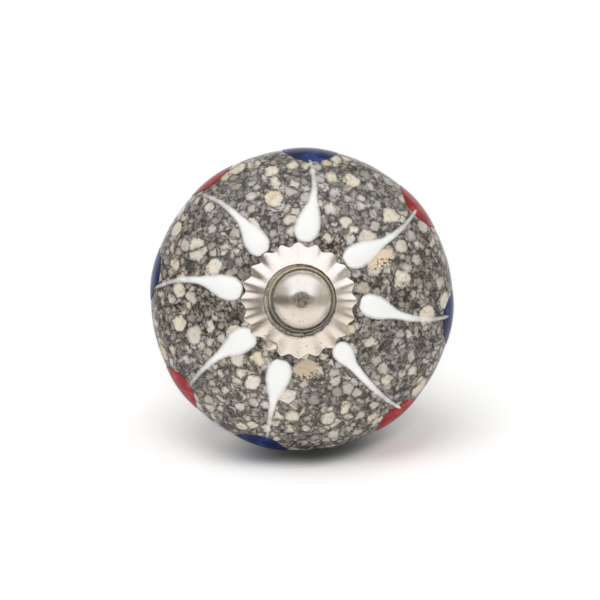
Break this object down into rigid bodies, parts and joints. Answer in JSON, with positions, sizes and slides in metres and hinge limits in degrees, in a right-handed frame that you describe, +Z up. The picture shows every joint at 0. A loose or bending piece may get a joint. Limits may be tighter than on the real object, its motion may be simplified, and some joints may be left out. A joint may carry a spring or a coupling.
{
  "type": "cabinet knob",
  "caption": "Round domed ceramic cabinet knob with raised slip drops, enamel rim dots, a fluted metal washer and domed cap, on a threaded stud that passes through the door.",
  "frame": {"origin": "centre of the ring-shaped mounting face at the back of the ceramic foot", "axes": "+Y along the stud into the door, the decorated front faces -Y, +Z up as in the picture, +X to the right seen from the front"},
  "size_m": [0.0422, 0.063, 0.0421],
  "materials": {
    "granite_glaze": "glossy clear glaze over a speckled granite ground",
    "white_slip": "glossy raised white slip",
    "red_enamel": "glossy dull red enamel",
    "blue_enamel": "glossy deep blue enamel",
    "plated_brass": "polished nickel plate on pressed and turned brass",
    "zinc_steel": "bright zinc plate"
  },
  "bodies": {
    "root": {"ceramic_body": "granite_glaze", "white_slip_drops": "white_slip", "red_enamel_dots": "red_enamel", "blue_enamel_dots": "blue_enamel", "fluted_washer": "plated_brass", "domed_cap_nut": "plated_brass", "threaded_stud": "zinc_steel", "clamp_washer": "zinc_steel", "clamp_nut": "zinc_steel", "fixing_washer": "zinc_steel", "fixing_nut": "zinc_steel"}
  },
  "joints": []
}
